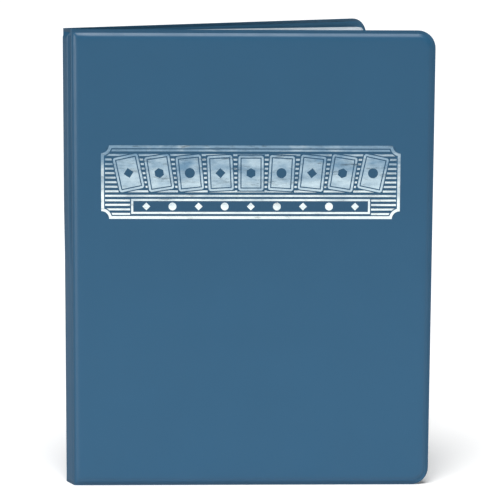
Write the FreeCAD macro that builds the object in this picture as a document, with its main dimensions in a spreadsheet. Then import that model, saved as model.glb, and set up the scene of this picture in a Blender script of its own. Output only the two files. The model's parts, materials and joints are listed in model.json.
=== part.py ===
import FreeCAD, Part
import math
import os
import Sketcher

# A collectors' card album: two board-filled vinyl covers and a vinyl spine, heat-sealed together
# with live hinges, and ten clear nine-pocket leaves that are stapled into a channel on the spine.
#
# It is drawn closed first: X runs from the spine towards the free edges, Y from the front cover
# to the back cover, Z up, with the spine's weld plane at X = 0. Every piece is then placed at the
# opening the album stands at, and the whole is turned so that the front cover faces -Y.

SIZES = (
    ("cover_height", 295.0, "covers and spine, bottom edge to top edge"),
    ("cover_width", 229.5, "hinge line to the free edge"),
    ("corner_radius", 11.3, "covers' free corners"),
    ("rim_width", 2.3, "flat welded rim outside the raised panel"),
    ("spine_width", 11.8, "from one hinge line to the other"),
    ("skin_thick", 0.4, "outer vinyl over the board"),
    ("liner_thick", 0.3, "inner vinyl"),
    ("board_thick", 1.8, "stiffening board"),
    ("weld_thick", 0.35, "outer vinyl pressed thin at the weld"),
    ("shoulder_radius", 0.8, "rounding where the raised panel meets its face"),
    ("soft_corner", 1.2, "raised panel's corners beside a hinge"),
    ("fold_gutter", 1.8, "hinge line to the edge of the board"),
    ("fold_gap", 0.36, "hinge line to the end of the welded strip"),
    ("fold_radius", 0.33, "vinyl rolled round the hinge line"),
    ("front_open", 27.6, "degrees that the front cover stands open"),
    ("back_open", 1.4, "degrees that the back cover stands open"),
    ("page_pitch", 0.88, "thickness of one leaf's margin"),
    ("page_low", 4.9, "leaves' lower edge at the binding"),
    ("page_end", 222.5, "spine to the leaves' free edge"),
    ("page_slope", 0.0165, "sag of a leaf per length from the binding"),
    ("page_corner", 3.0, "leaves' free corners"),
    ("film_thick", 0.12, "clear film"),
    ("pocket_depth", 0.4, "room for a card"),
    ("pocket_wide", 66.7, "pocket for a 63.5 x 88.9 card"),
    ("pocket_tall", 93.3, "pocket for a 63.5 x 88.9 card"),
    ("weld_line", 2.0, "weld between and around the pockets"),
    ("crease_first", 11.2, "spine to the outermost leaves' crease"),
    ("crease_gap", 0.3, "crease line to the start of the film"),
    ("crease_radius", 0.25, "bead on which a leaf turns"),
    ("tongue_length", 0.9, "thin strip between margin and bead"),
    ("tongue_thick", 0.24, "thin strip between margin and bead"),
    ("channel_depth", 8.0, "binding channel, back to lips"),
    ("channel_wall", 0.5, "binding channel"),
    ("staple_wire", 0.55, "wire diameter"),
    ("staple_crown", 12.0, "distance between a staple's legs"),
    ("staple_clinch", 4.6, "bent-over end of a leg"),
    ("staple_bend", 0.6, "bend of the wire at its centre line"),
    ("staple_inset", 4.6, "spine to the staples"),
    ("staple_pitch", 84.0, "between neighbouring staples"),
    ("staple_hole", 0.6, "hole through the margins, diameter"),
    ("channel_hole", 0.95, "hole through the channel, diameter, with room for a staple's bend"),
    ("foil_thick", 0.06, "stamped foil"),
    ("foil_left", 18.2, "hinge line to the emblem"),
    ("foil_low", 175.0, "cover's bottom edge to the emblem"),
    ("foil_wide", 190.0, "emblem"),
    ("foil_tall", 47.0, "emblem"),
    ("foil_corner", 5.0, "emblem's hollow corners"),
    ("foil_border", 1.8, "emblem's border line"),
    ("foil_gap", 0.7, "bare vinyl kept round each foil shape"),
    ("stripe_tall", 1.25, "foil stripe"),
    ("stripe_pitch", 2.9, "between neighbouring foil stripes"),
    ("plaque_wide", 152.0, "emblem's lower plaque"),
    ("plaque_tall", 9.6, "emblem's lower plaque"),
    ("plaque_rise", 3.2, "emblem's edge to the plaque"),
    ("plaque_line", 1.3, "plaque's frame line"),
    ("plaque_pitch", 16.6, "between neighbouring figures on the plaque"),
    ("plaque_figure", 2.5, "radius of a figure on the plaque"),
    ("card_wide", 16.0, "foil card"),
    ("card_tall", 22.4, "foil card"),
    ("card_rise", 29.4, "emblem's edge to the middle of the cards"),
    ("card_corner", 1.6, "foil card"),
    ("card_pitch", 19.4, "between neighbouring foil cards"),
    ("card_edge", 1.3, "foil card's edge band"),
    ("card_slit", 0.7, "bare line inside the edge band"),
    ("pip_radius", 3.2, "bare figure on a foil card"),
)
PAGE_COUNT = 10
POCKETS_EACH_WAY = 3
STAPLE_COUNT = 4
CARD_COUNT = 9
CARD_FAN = 3.0                              # degrees from one foil card to the next
PIP_SIDES = (4, 6, 24)                      # a diamond, a hexagon and a disc, in turn
PLAQUE_COUNT = 9
PLAQUE_SIDES = (4, 24)                      # a diamond and a disc, in turn
FACE_TOLERANCE = 1e-3
PAGE_SHARE = (1.0, 0.93, 0.85, 0.76, 0.66)  # of its cover's turn, outermost leaf first

Vector = FreeCAD.Vector
Placement = FreeCAD.Placement
UPRIGHT = Vector(0, 0, 1)

doc = FreeCAD.newDocument("card_album")
sheet = doc.addObject("Spreadsheet::Sheet", "sizes")
for row, (alias, amount, meaning) in enumerate(SIZES, start=1):
    sheet.set(f"A{row}", meaning)
    sheet.set(f"B{row}", str(amount))
    sheet.setAlias(f"B{row}", alias)
doc.recompute()


class Size:
    """A length known both as an expression on the sheet and as a number."""

    def __init__(self, text, value):
        self.text = text
        self.value = value

    def __add__(self, other):
        return Size(f"({self.text} + {other.text})", self.value + other.value)

    def __sub__(self, other):
        return Size(f"({self.text} - {other.text})", self.value - other.value)

    def __mul__(self, times):
        return Size(f"({self.text} * {times})", self.value * times)

    def scaled(self, other):
        return Size(f"({self.text} * {other.text})", self.value * other.value)


def size(alias):
    return Size(f"sizes.{alias}", float(sheet.get(alias)))


NOTHING = Size("0", 0.0)
HEIGHT = size("cover_height")
SPINE = size("spine_width")
RIM = size("rim_width")
SKIN = size("skin_thick")
LINER = size("liner_thick")
BOARD = size("board_thick")
GUTTER = size("fold_gutter")
FOLD_GAP = size("fold_gap")
CORNER = size("corner_radius")
SOFT_CORNER = size("soft_corner")
PITCH = size("page_pitch")
FILM = size("film_thick")
SLOPE = size("page_slope")
WELD_LINE = size("weld_line")
POCKET_WIDE = size("pocket_wide")
POCKET_TALL = size("pocket_tall")
PAGE_TALL = (POCKET_TALL + WELD_LINE) * POCKETS_EACH_WAY + WELD_LINE
CHANNEL_WALL = size("channel_wall")
STACK_HALF = PITCH * (PAGE_COUNT / 2)
CHANNEL_HALF = STACK_HALF + CHANNEL_WALL
COVER_FACE = BOARD + SKIN
FRONT_OPEN = size("front_open").value
BACK_OPEN = size("back_open").value

pieces = {}


# ---------------------------------------------------------------- drawing helpers

def new_body(name):
    body = doc.addObject("PartDesign::Body", name)
    body.Label = name
    return body


def sketch_on(body, role, name):
    sketch = body.newObject("Sketcher::SketchObject", name)
    plane = next(feature for feature in body.Origin.OriginFeatures if feature.Role == role)
    sketch.AttachmentSupport = [(plane, "")]
    sketch.MapMode = "FlatFace"
    return sketch


def drive(sketch, kind, *where, by):
    """Add a dimension and tie it to the sheet."""
    index = sketch.addConstraint(Sketcher.Constraint(kind, *where, by.value))
    if by is not NOTHING:
        sketch.setExpression(f"Constraints[{index}]", by.text)


def fix_point(sketch, edge, end, across, up):
    drive(sketch, "DistanceX", -1, 1, edge, end, by=across)
    drive(sketch, "DistanceY", -1, 1, edge, end, by=up)


def add_line(sketch, start, end, construction=False):
    return sketch.addGeometry(Part.LineSegment(Vector(*start, 0), Vector(*end, 0)), construction)


def add_arc(sketch, centre, radius, first, last):
    circle = Part.Circle(Vector(*centre, 0), UPRIGHT, radius)
    return sketch.addGeometry(Part.ArcOfCircle(circle, math.radians(first), math.radians(last)))


def polygon(sketch, points):
    """A closed outline with a driven position for each corner."""
    count = len(points)
    corners = [(across.value, up.value) for across, up in points]
    edges = [add_line(sketch, corners[i], corners[(i + 1) % count]) for i in range(count)]
    for i, edge in enumerate(edges):
        sketch.addConstraint(Sketcher.Constraint("Coincident", edge, 2, edges[(i + 1) % count], 1))
        fix_point(sketch, edge, 1, *points[i])


def rectangle(sketch, left, right, low, high, near=None, far=None):
    """An upright rectangle; near and far are its corner radii at the left and at the right."""
    radii = (near, far, far, near)
    spots = ((left, low), (right, low), (right, high), (left, high))
    inward = ((1, 1), (-1, 1), (-1, -1), (1, -1))
    trims = [radius.value if radius else 0.0 for radius in radii]
    edges = []
    for i in range(4):
        j = (i + 1) % 4
        start = [spots[i][0].value, spots[i][1].value]
        end = [spots[j][0].value, spots[j][1].value]
        axis = i % 2
        start[axis] += inward[i][axis] * trims[i]
        end[axis] += inward[j][axis] * trims[j]
        edges.append(add_line(sketch, start, end))
        sketch.addConstraint(Sketcher.Constraint(("Horizontal", "Vertical")[axis], edges[i]))
    for i, radius in enumerate(radii):
        if radius is None:
            sketch.addConstraint(Sketcher.Constraint("Coincident", edges[i - 1], 2, edges[i], 1))
            continue
        centre = [spots[i][axis].value + inward[i][axis] * radius.value for axis in (0, 1)]
        first = 180 + 90 * i
        arc = add_arc(sketch, centre, radius.value, first, first + 90)
        sketch.addConstraint(Sketcher.Constraint("Tangent", edges[i - 1], 2, arc, 1))
        sketch.addConstraint(Sketcher.Constraint("Tangent", arc, 2, edges[i], 1))
        drive(sketch, "Radius", arc, by=radius)
    drive(sketch, "DistanceY", -1, 1, edges[0], 1, by=low)
    drive(sketch, "DistanceX", -1, 1, edges[1], 1, by=right)
    drive(sketch, "DistanceY", -1, 1, edges[2], 1, by=high)
    drive(sketch, "DistanceX", -1, 1, edges[3], 1, by=left)


def circle(sketch, across, up, radius):
    shape = Part.Circle(Vector(across.value, up.value, 0), UPRIGHT, radius.value)
    edge = sketch.addGeometry(shape)
    fix_point(sketch, edge, 3, across, up)
    drive(sketch, "Radius", edge, by=radius)


def pad(body, sketch, length, backward=False):
    feature = body.newObject("PartDesign::Pad", f"{sketch.Name}_pad")
    feature.Profile = sketch
    feature.setExpression("Length", length.text)
    feature.Reversed = backward
    doc.recompute()
    return feature


def pocket(body, sketch, depth=None, backward=False):
    """Cut a sketch into the body, to a depth or, without one, through all of it."""
    before = body.Shape.Volume
    feature = body.newObject("PartDesign::Pocket", f"{sketch.Name}_cut")
    feature.Profile = sketch
    if depth is None:
        feature.Type = "ThroughAll"
        feature.Midplane = True
    else:
        feature.setExpression("Length", depth.text)
        feature.Reversed = backward
    doc.recompute()
    if body.Shape.Volume >= before:
        raise ValueError(f"{feature.Name} removes nothing")
    return feature


def fillet(body, radius, chosen):
    """Round the edges of the body that the function chosen picks."""
    base = body.Tip
    names = [f"Edge{i}" for i, edge in enumerate(base.Shape.Edges, start=1) if chosen(edge)]
    feature = body.newObject("PartDesign::Fillet", f"{base.Name}_round")
    feature.Base = (base, names)
    feature.setExpression("Radius", radius.text)
    doc.recompute()
    return feature


def keep(name, shape_object, closed_place):
    """Note a finished piece and where it lies in the closed album's frame."""
    shape_object.Label = name
    pieces[name] = (shape_object, closed_place)


def place(across=0.0, depth=0.0, up=0.0, turn=0.0):
    return Placement(Vector(across, depth, up), FreeCAD.Rotation(UPRIGHT, turn))


# ---------------------------------------------------------------- covers and spine
# A panel is drawn with its hinge line on Z, its weld plane at Y = 0 and its outer face towards -Y.

def cover_outlines():
    """The welded sheet, the raised panel and the room for the board, of a cover."""
    width = size("cover_width")
    inner = RIM + SKIN
    return (
        (FOLD_GAP, width, NOTHING, HEIGHT, None, CORNER),
        (GUTTER - SKIN, width - RIM, RIM, HEIGHT - RIM, SOFT_CORNER, CORNER - RIM),
        (GUTTER, width - inner, inner, HEIGHT - inner, SOFT_CORNER - SKIN, CORNER - inner),
    )


def spine_outlines():
    """The same three outlines for the spine, which has a hinge on both sides."""
    inner = RIM + SKIN
    raised_corner = SOFT_CORNER
    board_corner = SOFT_CORNER - SKIN
    return (
        (FOLD_GAP, SPINE - FOLD_GAP, NOTHING, HEIGHT, None, None),
        (GUTTER - SKIN, SPINE - (GUTTER - SKIN), RIM, HEIGHT - RIM, raised_corner, raised_corner),
        (GUTTER, SPINE - GUTTER, inner, HEIGHT - inner, board_corner, board_corner),
    )


def make_panel(name, outlines, where):
    """Outer vinyl formed over the board, the board, and the inner vinyl welded behind them."""
    sheet_edge, raised, board_room = outlines
    skin = new_body(f"{name}_skin")
    flat = sketch_on(skin, "XZ_Plane", f"{name}_skin_sheet")
    rectangle(flat, *sheet_edge)
    pad(skin, flat, size("weld_thick"))
    high = sketch_on(skin, "XZ_Plane", f"{name}_skin_raised")
    rectangle(high, *raised)
    pad(skin, high, COVER_FACE)

    def on_face(edge):
        box = edge.BoundBox
        face = -COVER_FACE.value
        return max(abs(box.YMin - face), abs(box.YMax - face)) < FACE_TOLERANCE

    fillet(skin, size("shoulder_radius"), on_face)
    room = sketch_on(skin, "XZ_Plane", f"{name}_skin_room")
    rectangle(room, *board_room)
    pocket(skin, room, BOARD, backward=True)
    keep(skin.Label, skin, where)

    board = new_body(f"{name}_board")
    stiff = sketch_on(board, "XZ_Plane", f"{name}_board_edge")
    rectangle(stiff, *board_room)
    pad(board, stiff, BOARD)
    keep(board.Label, board, where)

    liner = new_body(f"{name}_liner")
    inside = sketch_on(liner, "XZ_Plane", f"{name}_liner_sheet")
    rectangle(inside, *sheet_edge)
    pad(liner, inside, LINER, backward=True)
    keep(liner.Label, liner, where)


def make_fold(name, where):
    """The vinyl that bends along a hinge line."""
    fold = doc.addObject("Part::Cylinder", name)
    fold.setExpression("Radius", "sizes.fold_radius")
    fold.setExpression("Height", "sizes.cover_height")
    keep(name, fold, where)


# ---------------------------------------------------------------- binding

def staple_heights():
    """Heights of the staples above the leaves' lower edge."""
    middle = PAGE_TALL * 0.5
    steps = [i - (STAPLE_COUNT - 1) / 2 for i in range(STAPLE_COUNT)]
    return [middle + size("staple_pitch") * step for step in steps]


def punch_for_staples(body, hole):
    holes = sketch_on(body, "XZ_Plane", f"{body.Name}_holes")
    for height in staple_heights():
        for side in (-0.5, 0.5):
            level = height + size("staple_crown") * side
            circle(holes, size("staple_inset"), level, hole * 0.5)
    pocket(body, holes)


def make_channel(where):
    """A folded strip that holds the leaves' margins and is welded to the spine's liner."""
    body = new_body("binding_channel")
    back = LINER
    floor = LINER + CHANNEL_WALL
    lips = LINER + size("channel_depth")
    profile = sketch_on(body, "XY_Plane", "channel_profile")
    polygon(profile, (
        (back, CHANNEL_HALF * -1), (lips, CHANNEL_HALF * -1), (lips, STACK_HALF * -1),
        (floor, STACK_HALF * -1), (floor, STACK_HALF), (lips, STACK_HALF),
        (lips, CHANNEL_HALF), (back, CHANNEL_HALF),
    ))
    pad(body, profile, PAGE_TALL)
    punch_for_staples(body, size("channel_hole"))
    keep(body.Label, body, where)


def crease_of(page):
    """Spine to the crease: each leaf towards the middle of the stack creases one pitch further."""
    return size("crease_first") + PITCH * min(page - 1, PAGE_COUNT - page)


def depth_of(page):
    """Where a leaf lies between the covers, with the middle of the stack at 0."""
    return (page - (PAGE_COUNT + 1) / 2) * PITCH.value


def make_margin(page, where):
    """A leaf's stiff white margin, thinned to a tongue that ends in the crease bead."""
    body = new_body(f"page_{page:02d}_margin")
    start = LINER + CHANNEL_WALL
    crease = crease_of(page)
    neck = crease - size("tongue_length")
    half = PITCH * 0.5
    thin = size("tongue_thick") * 0.5
    profile = sketch_on(body, "XY_Plane", f"{body.Name}_profile")
    polygon(profile, (
        (start, half * -1), (neck, half * -1), (neck, thin * -1), (crease, thin * -1),
        (crease, thin), (neck, thin), (neck, half), (start, half),
    ))
    pad(body, profile, PAGE_TALL)
    bead = sketch_on(body, "XY_Plane", f"{body.Name}_bead")
    circle(bead, crease, NOTHING, size("crease_radius"))
    pad(body, bead, PAGE_TALL)
    punch_for_staples(body, size("staple_hole"))
    keep(body.Label, body, where)


def make_staple(name, where):
    """A wire staple: crown towards the front cover, ends bent over behind the stack."""
    wire = size("staple_wire") * 0.5
    reach = CHANNEL_HALF + wire
    leg = size("staple_crown") * 0.5
    tip = leg - size("staple_clinch")
    bend = size("staple_bend")
    body = new_body(name)
    path = sketch_on(body, "YZ_Plane", f"{name}_path")
    far, near, r = reach.value, -reach.value, bend.value
    low, high = -leg.value, leg.value
    runs = (
        ((far, -tip.value), (far, low + r)), ((far - r, low), (near + r, low)),
        ((near, low + r), (near, high - r)), ((near + r, high), (far - r, high)),
        ((far, high - r), (far, tip.value)),
    )
    lines = [add_line(path, *run) for run in runs]
    bends = (
        (far - r, low + r, 270, 360), (near + r, low + r, 180, 270),
        (near + r, high - r, 90, 180), (far - r, high - r, 0, 90),
    )
    for i, (across, up, first, last) in enumerate(bends):
        arc = add_arc(path, (across, up), r, first, last)
        path.addConstraint(Sketcher.Constraint("Tangent", lines[i], 2, arc, 2))
        path.addConstraint(Sketcher.Constraint("Tangent", arc, 1, lines[i + 1], 1))
        drive(path, "Radius", arc, by=bend)
    for i, line in enumerate(lines):
        path.addConstraint(Sketcher.Constraint(("Vertical", "Horizontal")[i % 2], line))
    fix_point(path, lines[0], 1, reach, tip * -1)
    fix_point(path, lines[4], 2, reach, tip)
    drive(path, "DistanceX", -1, 1, lines[2], 1, by=reach * -1)
    drive(path, "DistanceY", -1, 1, lines[1], 1, by=leg * -1)
    drive(path, "DistanceY", -1, 1, lines[3], 1, by=leg)
    profile = sketch_on(body, "XY_Plane", f"{name}_wire")
    profile.setExpression("AttachmentOffset.Base.z", (tip * -1).text)
    circle(profile, NOTHING, reach, wire)
    doc.recompute()
    pipe = body.newObject("PartDesign::AdditivePipe", f"{name}_pipe")
    pipe.Profile = profile
    pipe.Spine = (path, [f"Edge{i + 1}" for i in range(len(path.Shape.Edges))])
    keep(name, body, where)


# ---------------------------------------------------------------- leaves
# A leaf is drawn with its crease line on Z, its two films meeting at Y = 0 and its pockets
# towards -Y. Level lines on it sag by page_slope, and upright lines stay upright.

def sagging(across, up):
    return across, up - SLOPE.scaled(across)


def leaf_sheet(body, page, name, backward):
    """One film of a leaf, with its free corners rounded."""
    left = size("crease_gap")
    right = size("page_end") - crease_of(page)
    edge = sketch_on(body, "XZ_Plane", name)
    spots = ((left, NOTHING), (right, NOTHING), (right, PAGE_TALL), (left, PAGE_TALL))
    polygon(edge, [sagging(*spot) for spot in spots])
    pad(body, edge, FILM, backward)

    def across_free_corner(line):
        box = line.BoundBox
        at_free_edge = abs(box.XMin - right.value) < FACE_TOLERANCE
        return at_free_edge and box.YLength > FILM.value / 2 and line.Length < FILM.value * 2

    fillet(body, size("page_corner"), across_free_corner)


def make_leaf(page, where):
    """A plain back film, and a front film formed into nine pockets that open at the top."""
    back = new_body(f"page_{page:02d}_back_film")
    leaf_sheet(back, page, f"{back.Name}_edge", backward=True)
    keep(back.Label, back, where)

    front = new_body(f"page_{page:02d}_pocket_film")
    leaf_sheet(front, page, f"{front.Name}_edge", backward=False)
    last_weld = size("page_end") - crease_of(page) - WELD_LINE
    step = POCKET_WIDE + WELD_LINE
    left = last_weld - step * POCKETS_EACH_WAY + WELD_LINE
    right = left + POCKET_WIDE
    low = WELD_LINE
    high = WELD_LINE + POCKET_TALL

    def pocket_outline(name, side, base):
        sketch = sketch_on(front, "XZ_Plane", name)
        spots = ((left + side, low + base), (right - side, low + base), (right - side, high),
                 (left + side, high))
        polygon(sketch, [sagging(*spot) for spot in spots])
        return sketch

    outside = pocket_outline(f"{front.Name}_outside", NOTHING, NOTHING)
    bulge = pad(front, outside, size("pocket_depth") + FILM)
    inside = pocket_outline(f"{front.Name}_inside", FILM, FILM)
    room = pocket(front, inside, size("pocket_depth"), backward=True)

    slant = sketch_on(front, "XZ_Plane", f"{front.Name}_rows")
    run = (POCKET_WIDE + WELD_LINE) * (POCKETS_EACH_WAY - 1)
    drop = SLOPE.scaled(run) * -1
    row = add_line(slant, (0, 0), (run.value, drop.value), construction=True)
    fix_point(slant, row, 1, NOTHING, NOTHING)
    fix_point(slant, row, 2, run, drop)
    grid = front.newObject("PartDesign::LinearPattern", f"{front.Name}_grid")
    grid.Originals = [bulge, room]
    grid.Direction = (slant, ["Axis0"])
    grid.setExpression("Length", f"{run.text} * sqrt(1 + {SLOPE.text} ^ 2)")
    grid.Occurrences = POCKETS_EACH_WAY
    grid.Direction2 = (slant, ["V_Axis"])
    grid.setExpression("Length2", ((POCKET_TALL + WELD_LINE) * (POCKETS_EACH_WAY - 1)).text)
    grid.Occurrences2 = POCKETS_EACH_WAY
    front.Tip = grid
    doc.recompute()
    keep(front.Label, front, where)


# ---------------------------------------------------------------- foil emblem
# Drawn in the front cover's frame, on its outer face: a ticket-shaped border round a row of
# fanned cards on a ground of level stripes, above a plaque with a row of small figures.

FOIL = size("foil_thick")
FOIL_LEFT = size("foil_left")
FOIL_RIGHT = FOIL_LEFT + size("foil_wide")
FOIL_LOW = size("foil_low")
FOIL_HIGH = FOIL_LOW + size("foil_tall")
FOIL_MIDDLE = FOIL_LEFT + size("foil_wide") * 0.5
FOIL_FACE = Vector(0, -COVER_FACE.value, 0)


def ticket(sketch, inset):
    """A rectangle with hollow corners, drawn a distance inside the emblem's edge."""
    radius = size("foil_corner") + inset
    sides = (FOIL_LOW + inset, FOIL_RIGHT - inset, FOIL_HIGH - inset, FOIL_LEFT + inset)
    corners = ((FOIL_LEFT, FOIL_LOW), (FOIL_RIGHT, FOIL_LOW), (FOIL_RIGHT, FOIL_HIGH),
               (FOIL_LEFT, FOIL_HIGH))
    lean = math.degrees(math.asin(inset.value / radius.value))
    arcs = []
    for i, (across, up) in enumerate(corners):
        first = 90 * i + lean
        last = 90 * (i + 1) - lean
        arcs.append(add_arc(sketch, (across.value, up.value), radius.value, first, last))
        fix_point(sketch, arcs[i], 3, across, up)
        drive(sketch, "Radius", arcs[i], by=radius)
    for i in range(4):
        start = sketch.getPoint(arcs[i], 1)
        end = sketch.getPoint(arcs[(i + 1) % 4], 2)
        edge = add_line(sketch, (start.x, start.y), (end.x, end.y))
        level = i % 2 == 0
        sketch.addConstraint(Sketcher.Constraint("Coincident", arcs[i], 1, edge, 1))
        sketch.addConstraint(Sketcher.Constraint("Coincident", arcs[(i + 1) % 4], 2, edge, 2))
        sketch.addConstraint(Sketcher.Constraint("Horizontal" if level else "Vertical", edge))
        drive(sketch, "DistanceY" if level else "DistanceX", -1, 1, edge, 1, by=sides[i])


def lift_to_cover(sketch):
    """Move a sketch on the XZ plane out to the cover's outer face."""
    sketch.setExpression("AttachmentOffset.Base.z", COVER_FACE.text)


def make_foil_border(where):
    body = new_body("foil_border")
    sketch = sketch_on(body, "XZ_Plane", "foil_border_lines")
    lift_to_cover(sketch)
    ticket(sketch, NOTHING)
    ticket(sketch, size("foil_border"))
    pad(body, sketch, FOIL)
    keep(body.Label, body, where)


def figure(sketch, across, up, radius, sides):
    """A regular polygon that stands on a corner."""
    turns = [2 * math.pi * (n / sides + 0.25) for n in range(sides)]
    polygon(sketch, [(across + radius * math.cos(turn), up + radius * math.sin(turn))
                     for turn in turns])


def make_foil_plaque(where):
    """A frame line round a row of small figures."""
    body = new_body("foil_plaque")
    body.AllowCompound = True
    sketch = sketch_on(body, "XZ_Plane", "foil_plaque_lines")
    lift_to_cover(sketch)
    half_wide = size("plaque_wide") * 0.5
    low = FOIL_LOW + size("plaque_rise")
    high = low + size("plaque_tall")
    for inset in (NOTHING, size("plaque_line")):
        wide = half_wide - inset
        rectangle(sketch, FOIL_MIDDLE - wide, FOIL_MIDDLE + wide, low + inset, high - inset)
    level = low + size("plaque_tall") * 0.5
    for i in range(PLAQUE_COUNT):
        across = FOIL_MIDDLE + size("plaque_pitch") * (i - (PLAQUE_COUNT - 1) / 2)
        sides = PLAQUE_SIDES[i % len(PLAQUE_SIDES)]
        figure(sketch, across, level, size("plaque_figure"), sides)
    pad(body, sketch, FOIL)
    keep(body.Label, body, where)


def card_places():
    """Middle and tilt of each foil card, in the cover's frame."""
    level = FOIL_LOW + size("card_rise")
    for i in range(CARD_COUNT):
        step = i - (CARD_COUNT - 1) / 2
        yield FOIL_MIDDLE + size("card_pitch") * step, level, -CARD_FAN * step


def make_foil_cards(where):
    """Each card is an edge band round a plate with a bare figure in its middle."""
    body = new_body("foil_cards")
    body.AllowCompound = True
    half_wide = size("card_wide") * 0.5
    half_tall = size("card_tall") * 0.5
    corner = size("card_corner")
    edge = size("card_edge")
    inner = edge + size("card_slit")
    for i, (across, up, tilt) in enumerate(card_places()):
        sketch = sketch_on(body, "XZ_Plane", f"foil_card_{i + 1}")
        sketch.AttachmentOffset = place(turn=tilt)
        sketch.setExpression("AttachmentOffset.Base.x", across.text)
        sketch.setExpression("AttachmentOffset.Base.y", up.text)
        lift_to_cover(sketch)
        for inset, radius in ((NOTHING, corner), (edge, corner - edge), (inner, None)):
            wide = half_wide - inset
            tall = half_tall - inset
            rectangle(sketch, wide * -1, wide, tall * -1, tall, radius, radius)
        figure(sketch, NOTHING, NOTHING, size("pip_radius"), PIP_SIDES[i % len(PIP_SIDES)])
        pad(body, sketch, FOIL)
    keep(body.Label, body, where)


def foil_box(name, wide, tall, middle, level, tilt=0.0):
    """A flat box on the cover's face, given by its middle."""
    box = doc.addObject("Part::Box", name)
    box.setExpression("Length", wide.text)
    box.setExpression("Width", FOIL.text)
    box.setExpression("Height", tall.text)
    lean = FreeCAD.Rotation(Vector(0, -1, 0), tilt)
    offset = lean.multVec(Vector(-wide.value / 2, -FOIL.value, -tall.value / 2))
    box.Placement = Placement(Vector(middle.value, 0, level.value) + FOIL_FACE + offset, lean)
    return box


def make_foil_stripes(where):
    """Level stripes across the emblem, kept clear of its border, cards and plaque."""
    gap = size("foil_gap")
    inset = size("foil_border") + gap
    wide = size("foil_wide") - inset * 2
    pitch = size("stripe_pitch")
    rows = int((size("foil_tall") - inset * 2).value / pitch.value) + 1
    centre = FOIL_LOW + size("foil_tall") * 0.5
    stripes = []
    for i in range(rows):
        level = centre + pitch * (i - (rows - 1) / 2)
        box = foil_box(f"stripe_{i + 1}", wide, size("stripe_tall"), FOIL_MIDDLE, level)
        stripes.append(box)
    ground = doc.addObject("Part::Compound", "stripes")
    ground.Links = stripes
    plaque_wide = size("plaque_wide") + gap * 2
    plaque_tall = size("plaque_tall") + gap * 2
    plaque_level = FOIL_LOW + size("plaque_rise") + size("plaque_tall") * 0.5
    tools = [foil_box("clear_plaque", plaque_wide, plaque_tall, FOIL_MIDDLE, plaque_level)]
    for i, (across, up, tilt) in enumerate(card_places()):
        clear_wide = size("card_wide") + gap * 2
        clear_tall = size("card_tall") + gap * 2
        tools.append(foil_box(f"clear_{i + 1}", clear_wide, clear_tall, across, up, tilt))
    for i, (across, up) in enumerate(((FOIL_LEFT, FOIL_LOW), (FOIL_RIGHT, FOIL_LOW),
                                      (FOIL_LEFT, FOIL_HIGH), (FOIL_RIGHT, FOIL_HIGH))):
        corner = doc.addObject("Part::Cylinder", f"clear_corner_{i + 1}")
        corner.setExpression("Radius", (size("foil_corner") + inset).text)
        corner.setExpression("Height", FOIL.text)
        face = Vector(across.value, 0, up.value) + FOIL_FACE
        corner.Placement = Placement(face, FreeCAD.Rotation(Vector(1, 0, 0), 90))
        tools.append(corner)
    clear = doc.addObject("Part::Compound", "stripe_clearances")
    clear.Links = tools
    cut = doc.addObject("Part::Cut", "foil_stripes")
    cut.Base = ground
    cut.Tool = clear
    keep("foil_stripes", cut, where)


# ---------------------------------------------------------------- assembly

def check_document():
    """Stop if any feature failed or any piece is empty or broken."""
    for thing in doc.Objects:
        if "Invalid" in thing.State or "Error" in thing.State:
            raise ValueError(f"{thing.Name} failed: {thing.State}")
    for name, (thing, _) in pieces.items():
        if thing.Shape.isNull() or not thing.Shape.isValid() or thing.Shape.Volume <= 0:
            raise ValueError(f"{name} has no valid shape")


def place_everything():
    """Turn the album so that its front cover faces -Y, and stand it on the middle of its box."""
    turned = place(turn=FRONT_OPEN)
    for thing, closed_place in pieces.values():
        thing.Placement = turned.multiply(closed_place)
    doc.recompute()
    panels = [thing.Shape for name, (thing, _) in pieces.items() if name.endswith(("skin", "liner"))]
    panels.append(pieces["foil_border"][0].Shape)
    box = Part.makeCompound(panels).optimalBoundingBox(False)
    shift = Placement(Vector(-box.Center.x, -box.Center.y, -box.ZMin), FreeCAD.Rotation())
    for thing, closed_place in pieces.values():
        thing.Placement = shift.multiply(turned).multiply(closed_place)
    doc.recompute()
    return shift.multiply(turned)


def build():
    half_spine = SPINE.value / 2
    front_hinge = place(depth=-half_spine)
    back_hinge = place(depth=half_spine)
    front = place(depth=-half_spine, turn=-FRONT_OPEN)
    facing_back = Placement(Vector(0, 0, HEIGHT.value), FreeCAD.Rotation(Vector(1, 0, 0), 180))
    back = place(depth=half_spine, turn=BACK_OPEN).multiply(facing_back)

    make_panel("front_cover", cover_outlines(), front)
    make_panel("back_cover", cover_outlines(), back)
    make_panel("spine", spine_outlines(), place(depth=half_spine, turn=-90))
    make_fold("front_fold", front_hinge)
    make_fold("back_fold", back_hinge)

    page_low = size("page_low").value
    make_channel(place(up=page_low))
    for number, height in enumerate(staple_heights(), start=1):
        spot = place(size("staple_inset").value, 0, page_low + height.value)
        make_staple(f"staple_{number}", spot)
    for page in range(1, PAGE_COUNT + 1):
        make_margin(page, place(depth=depth_of(page), up=page_low))
        share = PAGE_SHARE[min(page - 1, PAGE_COUNT - page)]
        opening = -FRONT_OPEN if page <= PAGE_COUNT / 2 else BACK_OPEN
        crease = crease_of(page).value
        make_leaf(page, place(crease, depth_of(page), page_low, opening * share))

    make_foil_border(front)
    make_foil_plaque(front)
    make_foil_cards(front)
    make_foil_stripes(front)
    doc.recompute()
    return place_everything()


closed_to_row = build()
check_document()
os.makedirs("parts", exist_ok=True)
for piece_name, (piece, _) in pieces.items():
    piece.Shape.exportStep(f"parts/{piece_name}.step")
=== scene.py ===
import json
import math

import bmesh
import bpy
import numpy as np
from mathutils import Matrix, Vector, noise

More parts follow.
